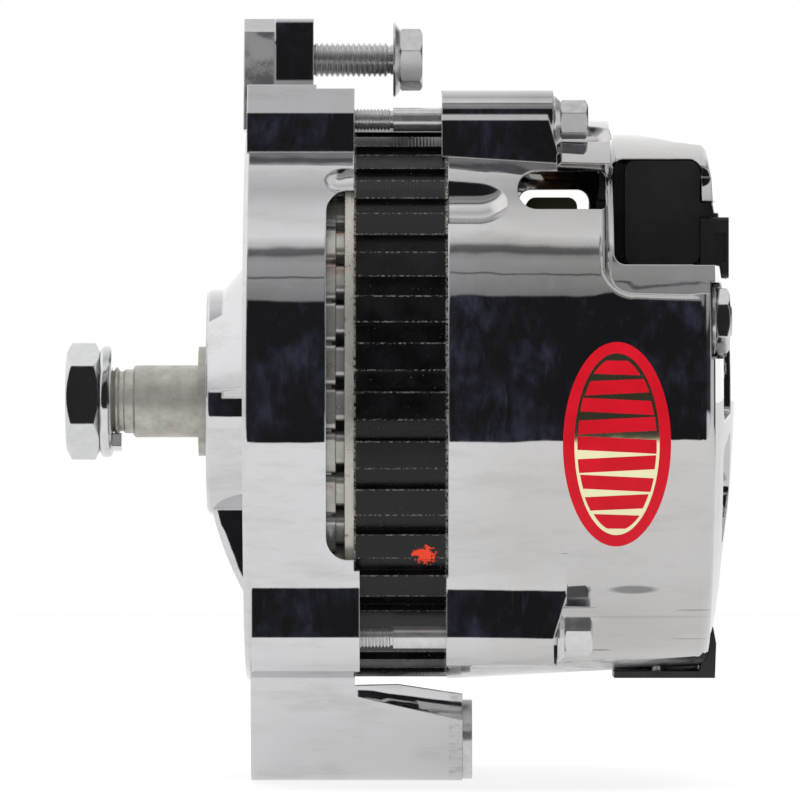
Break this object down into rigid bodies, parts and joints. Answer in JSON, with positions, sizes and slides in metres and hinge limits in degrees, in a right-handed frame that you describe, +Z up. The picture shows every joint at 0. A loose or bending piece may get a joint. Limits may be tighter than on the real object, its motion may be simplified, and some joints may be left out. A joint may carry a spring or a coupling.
{
  "type": "car alternator",
  "caption": "Chrome-plated car alternator with a threaded shaft end, a finned stator ring between two cast frames, an adjusting ear with its bolt and a pivot foot.",
  "frame": {"origin": "on the shaft axis at the front face of the shaft collar, where the pulley's back face seats", "axes": "+X along the shaft from the pulley end to the rear, +Z up through the adjusting ear, -Y towards the labelled side"},
  "size_m": [0.1576, 0.1434, 0.1797],
  "materials": {
    "chrome_casting": "polished, chrome plated aluminium casting",
    "zinc_steel": "zinc plated, satin",
    "plated_nut": "bright zinc",
    "ground_steel": "ground, oiled",
    "bearing_steel": "polished",
    "cage_brass": "satin",
    "black_paint": "satin black over laminations",
    "lacquered_winding": "grey resin over copper bars",
    "copper": "copper, lacquered",
    "lead_sleeve": "varnished sleeve",
    "pole_iron": "forged, matte",
    "fan_steel": "pressed steel",
    "carbon": "carbon graphite",
    "raw_aluminium": "as extruded",
    "diode_cup": "nickel plated copper",
    "moulded_black": "moulded, fine grain",
    "regulator_plastic": "moulded, matte",
    "pin_brass": "tin plated",
    "olive_plastic": "moulded, matte olive",
    "label_film": "printed film, no lettering"
  },
  "bodies": {
    "housing": {"front_frame": "chrome_casting", "rear_frame": "chrome_casting", "foot_bushing": "zinc_steel", "through_bolts": "zinc_steel", "retainer_screws": "zinc_steel", "rectifier_screws": "zinc_steel", "regulator_screws": "zinc_steel", "guard_screws": "zinc_steel", "output_stud": "zinc_steel", "stud_washer": "zinc_steel", "bearing_retainer_plate": "zinc_steel", "stud_nut": "plated_nut", "front_bearing_outer_ring": "bearing_steel", "rear_bearing_outer_ring": "bearing_steel", "stator_core": "black_paint", "end_turns_front": "lacquered_winding", "end_turns_rear": "lacquered_winding", "slot_conductors": "copper", "phase_leads": "lead_sleeve", "brush_spring_inner": "bearing_steel", "brush_spring_outer": "bearing_steel", "brush_holder": "moulded_black", "positive_heat_sink": "raw_aluminium", "negative_heat_sink": "raw_aluminium", "positive_diodes": "diode_cup", "negative_diodes": "diode_cup", "heat_sink_insulator": "moulded_black", "terminal_strip": "moulded_black", "voltage_regulator": "regulator_plastic", "pocket_seal": "regulator_plastic", "connector_housing": "regulator_plastic", "connector_pins": "pin_brass", "suppression_capacitor": "olive_plastic", "stud_insulator": "moulded_black", "lower_guard": "moulded_black", "oval_label": "label_film"},
    "rotor": {"rotor_shaft": "ground_steel", "shaft_collar": "ground_steel", "front_claw_pole": "pole_iron", "rear_claw_pole": "pole_iron", "field_bobbin": "moulded_black", "field_coil": "copper", "front_fan": "fan_steel", "rear_fan": "fan_steel", "slip_ring_sleeve": "moulded_black", "slip_ring_inner": "copper", "slip_ring_outer": "copper", "front_bearing_inner_ring": "bearing_steel", "rear_bearing_inner_ring": "bearing_steel"},
    "front_cage": {"front_bearing_cage": "cage_brass", "front_bearing_balls": "bearing_steel"},
    "rear_cage": {"rear_bearing_cage": "cage_brass", "rear_bearing_balls": "bearing_steel"},
    "inner_brush": {"brush_inner": "carbon"},
    "outer_brush": {"brush_outer": "carbon"},
    "pulley_clamp": {"pulley_nut": "plated_nut", "lock_washer": "plated_nut"},
    "adjuster": {"adjuster_bolt": "zinc_steel"}
  },
  "joints": [
    {"name": "rotor_spin", "type": "hinge", "parent": "housing", "child": "rotor", "pos_m": [0, 0, 0], "axis": [1, 0, 0], "continuous": true},
    {"name": "front_cage_spin", "type": "hinge", "parent": "housing", "child": "front_cage", "pos_m": [0.011, 0, 0], "axis": [1, 0, 0], "continuous": true},
    {"name": "rear_cage_spin", "type": "hinge", "parent": "housing", "child": "rear_cage", "pos_m": [0.1065, 0, 0], "axis": [1, 0, 0], "continuous": true},
    {"name": "inner_brush_travel", "type": "slide", "parent": "housing", "child": "inner_brush", "axis": [0, 0, 1], "range_m": [0, 0.005], "stiffness_N_per_m": 250, "springref_m": -0.006, "deforming": ["brush_spring_inner"]},
    {"name": "outer_brush_travel", "type": "slide", "parent": "housing", "child": "outer_brush", "axis": [0, 0, 1], "range_m": [0, 0.005], "stiffness_N_per_m": 250, "springref_m": -0.006, "deforming": ["brush_spring_outer"]},
    {"name": "pulley_nut_off", "type": "slide", "parent": "rotor", "child": "pulley_clamp", "axis": [-1, 0, 0], "range_m": [0, 0.045]},
    {"name": "adjuster_bolt_travel", "type": "slide", "parent": "housing", "child": "adjuster", "axis": [1, 0, 0], "range_m": [-0.0184, 0.05]}
  ],
  "couplings": [
    {"joint": "front_cage_spin", "follows": "rotor_spin", "ratio": 0.375},
    {"joint": "rear_cage_spin", "follows": "rotor_spin", "ratio": 0.388}
  ]
}
